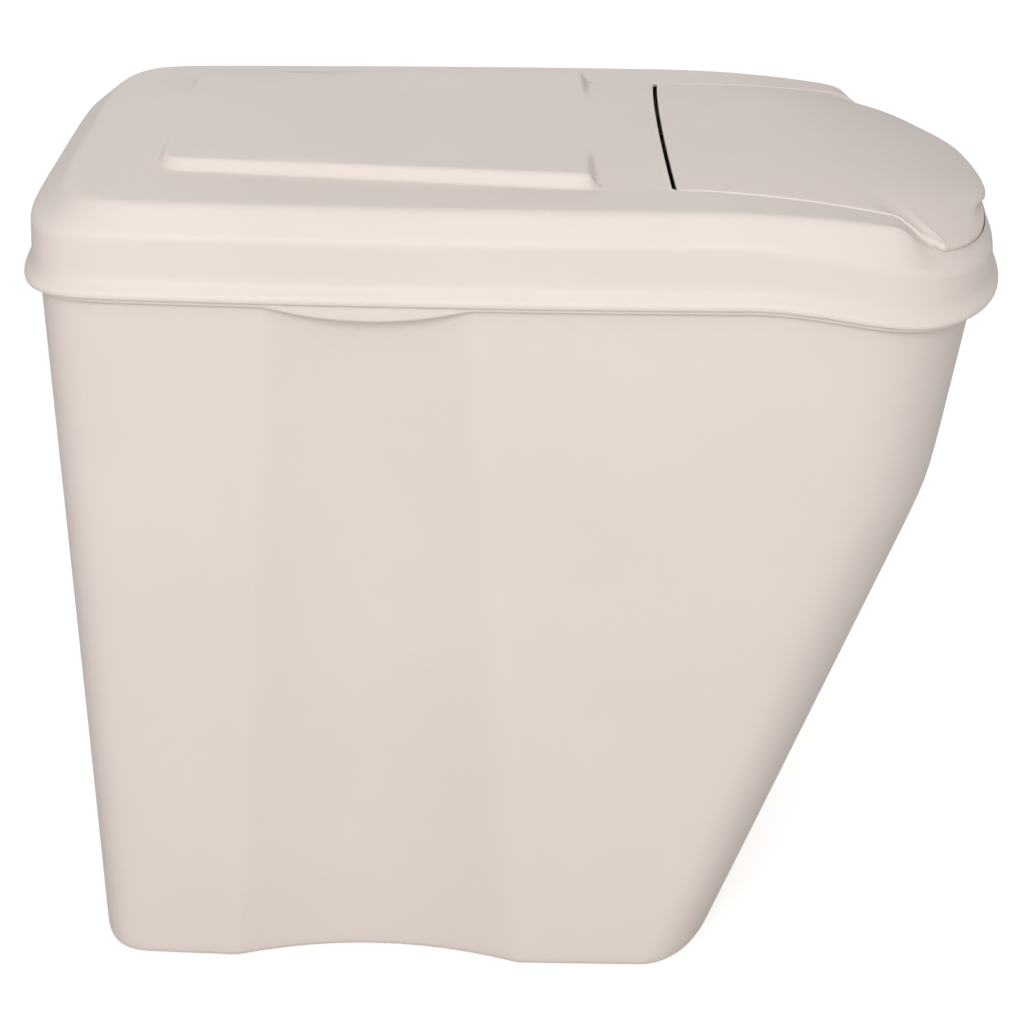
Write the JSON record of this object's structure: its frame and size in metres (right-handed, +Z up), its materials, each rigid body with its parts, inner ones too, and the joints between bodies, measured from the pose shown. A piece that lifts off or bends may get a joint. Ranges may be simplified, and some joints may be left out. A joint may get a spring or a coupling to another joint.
{
  "type": "pet food bin",
  "caption": "Tall tapered storage bin with a leaning pouring front, a lift-off lid with a raised pad, and a pour flap hinged in the lid.",
  "frame": {"origin": "on the floor, under the middle of the lid's length and width", "axes": "+X towards the pouring end, +Y across the bin, +Z up"},
  "size_m": [0.5, 0.3092, 0.4505],
  "materials": {
    "shell": "satin moulded polypropylene, warm off-white",
    "pin": "smooth acetal, pale grey",
    "seal": "soft matte elastomer, grey"
  },
  "bodies": {
    "tub": {"bin_body": "shell"},
    "lid": {"lid": "shell", "hinge_pins": "pin", "lid_seal": "seal", "flap_seal": "seal"},
    "flap": {"pour_flap": "shell"}
  },
  "joints": [
    {"name": "lid_lift", "type": "slide", "parent": "tub", "child": "lid", "axis": [0, 0, 1], "range_m": [0, 0.15]},
    {"name": "flap_hinge", "type": "hinge", "parent": "lid", "child": "flap", "pos_m": [0.084, 0, 0.4375], "axis": [0, -1, 0], "range_deg": [0, 98]}
  ]
}
